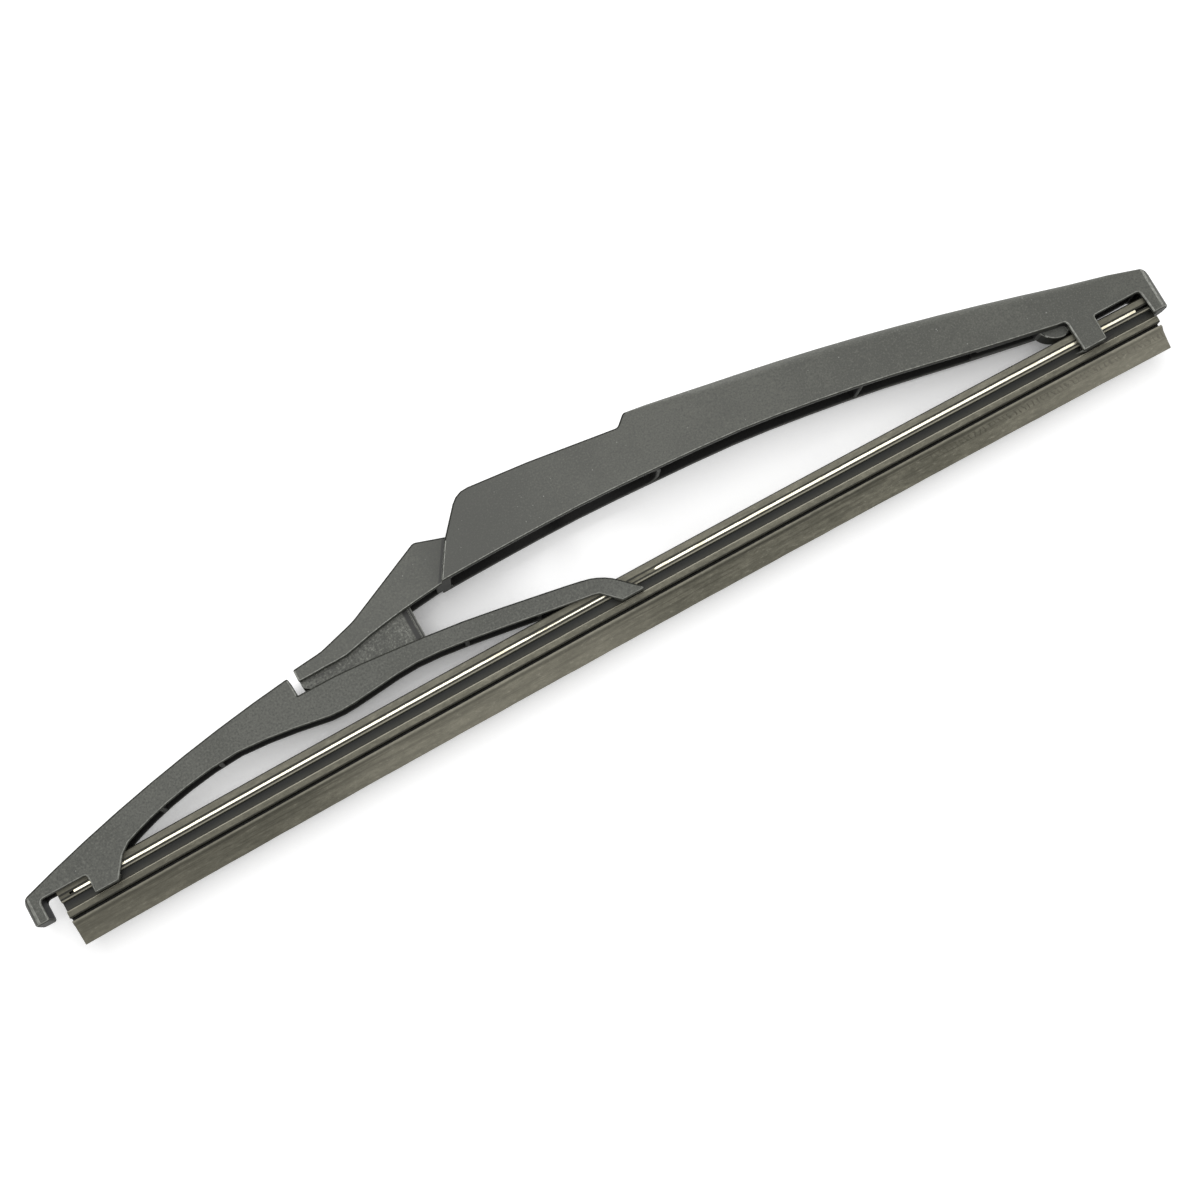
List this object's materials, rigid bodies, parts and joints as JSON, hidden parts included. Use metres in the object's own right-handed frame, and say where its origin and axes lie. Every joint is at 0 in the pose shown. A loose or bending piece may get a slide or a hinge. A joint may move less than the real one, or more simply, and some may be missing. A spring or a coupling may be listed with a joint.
{
  "type": "rear wiper blade",
  "caption": "Rear windscreen wiper blade: a hollow plastic bridge with an arm pin, a rocking lever, and a rubber with steel strips held in claws.",
  "frame": {"origin": "centre of the moulded pin that the wiper arm clips to", "axes": "+X along the rubber towards the bridge's end cap, +Y from the glass towards the wiper arm, +Z across the blade"},
  "size_m": [0.3168, 0.052, 0.0164],
  "materials": {
    "bridge_plastic": "satin, finely grained",
    "lever_plastic": "matt, grained",
    "wiper_rubber": "matt with chalky streaks",
    "strip_steel": "bright rolled"
  },
  "bodies": {
    "bridge": {"main_bridge": "bridge_plastic", "pivot_block": "lever_plastic"},
    "lever": {"secondary_lever": "lever_plastic", "rubber_strip": "wiper_rubber", "flexor_front": "strip_steel", "flexor_back": "strip_steel"}
  },
  "joints": [
    {"name": "lever_pivot", "type": "hinge", "parent": "bridge", "child": "lever", "pos_m": [-0.0655, -0.018, 0], "axis": [0, 0, 1], "range_deg": [-5, 5], "stiffness_Nm_per_rad": 2, "deforming": ["rubber_strip", "flexor_front", "flexor_back"]}
  ]
}
